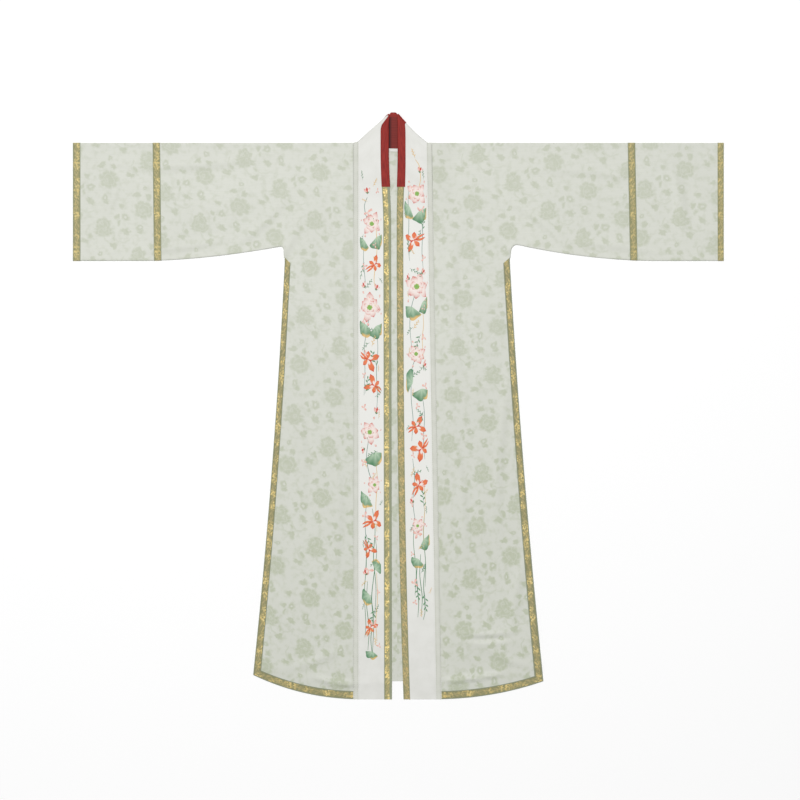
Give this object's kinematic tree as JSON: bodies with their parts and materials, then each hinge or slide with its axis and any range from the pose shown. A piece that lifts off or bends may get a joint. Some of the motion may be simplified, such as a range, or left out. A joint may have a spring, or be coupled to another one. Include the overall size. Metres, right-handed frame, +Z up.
{
  "type": "hanfu robe laid flat",
  "caption": "Long open robe with a straight collar band, straight sleeves and side slits, laid flat with its front up.",
  "frame": {"origin": "middle of the bounding box on the surface that the robe lies on", "axes": "+X along the sleeves, towards the sleeve on the right as seen from above; +Y from hem to neck; +Z up, out of the front"},
  "size_m": [1.431, 1.291, 0.0094],
  "materials": {
    "sage_silk": "jacquard weave, soft satin",
    "plain_edging": "plain weave",
    "white_band": "satin with embroidery",
    "gold_brocade": "woven brocade",
    "red_guard": "plain satin"
  },
  "bodies": {
    "root": {"body_left": "sage_silk", "body_right": "sage_silk", "sleeve_end_left": "sage_silk", "sleeve_end_right": "sage_silk", "sleeve_join_trim_left": "gold_brocade", "sleeve_join_trim_right": "gold_brocade", "cuff_trim_left": "gold_brocade", "cuff_trim_right": "gold_brocade", "front_edging_left": "plain_edging", "front_edging_right": "plain_edging", "hem_trim_left": "gold_brocade", "hem_trim_right": "gold_brocade", "front_trim_left": "gold_brocade", "front_trim_right": "gold_brocade", "collar_band": "white_band", "collar_guard": "red_guard"}
  },
  "joints": []
}
